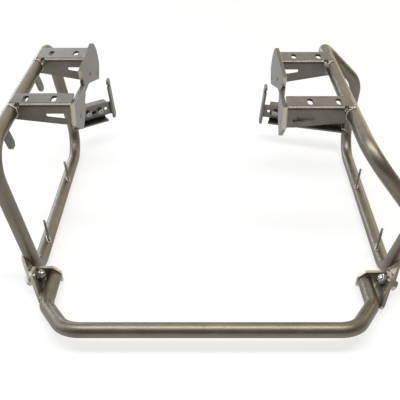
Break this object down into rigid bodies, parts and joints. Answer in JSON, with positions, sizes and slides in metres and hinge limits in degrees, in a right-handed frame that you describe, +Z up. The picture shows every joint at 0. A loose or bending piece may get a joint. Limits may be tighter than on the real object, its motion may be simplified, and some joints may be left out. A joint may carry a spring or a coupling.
{
  "type": "pannier frame",
  "caption": "Bare steel motorcycle pannier frame: bent-tube side loops on folded, slotted crossmembers, with inner mounting plates, adjustable front struts and a bolted rear crossbar.",
  "frame": {"origin": "centre of the footprint on the floor that both loops' foot runs stand on", "axes": "+X across the bike to its right, +Y forward, +Z up"},
  "size_m": [0.5148, 0.4866, 0.217],
  "materials": {
    "tube_steel": "satin bead-blasted stainless tube",
    "sheet_steel": "matt bead-blasted stainless sheet",
    "fastener_steel": "bright stainless fasteners"
  },
  "bodies": {
    "root": {"crossbar_tube": "tube_steel", "left_crossbar_bracket": "sheet_steel", "left_front_crossmember": "sheet_steel", "left_front_foot_tab": "sheet_steel", "left_front_top_tab": "sheet_steel", "left_inner_plate": "sheet_steel", "left_joint_bolt": "fastener_steel", "left_joint_nut": "fastener_steel", "left_joint_washers": "fastener_steel", "left_loop_tube": "tube_steel", "left_rear_crossmember": "sheet_steel", "left_rear_ear": "sheet_steel", "left_rear_foot_tab": "sheet_steel", "left_rear_top_tab": "sheet_steel", "left_strut_bolts": "fastener_steel", "left_strut_channel": "sheet_steel", "left_strut_end_plate": "sheet_steel", "left_strut_nuts": "fastener_steel", "left_strut_slider": "sheet_steel", "left_strut_washers": "fastener_steel", "right_crossbar_bracket": "sheet_steel", "right_front_crossmember": "sheet_steel", "right_front_foot_tab": "sheet_steel", "right_front_top_tab": "sheet_steel", "right_inner_plate": "sheet_steel", "right_joint_bolt": "fastener_steel", "right_joint_nut": "fastener_steel", "right_joint_washers": "fastener_steel", "right_loop_tube": "tube_steel", "right_rear_crossmember": "sheet_steel", "right_rear_ear": "sheet_steel", "right_rear_foot_tab": "sheet_steel", "right_rear_top_tab": "sheet_steel", "right_strut_bolts": "fastener_steel", "right_strut_channel": "sheet_steel", "right_strut_end_plate": "sheet_steel", "right_strut_nuts": "fastener_steel", "right_strut_slider": "sheet_steel", "right_strut_washers": "fastener_steel"}
  },
  "joints": []
}
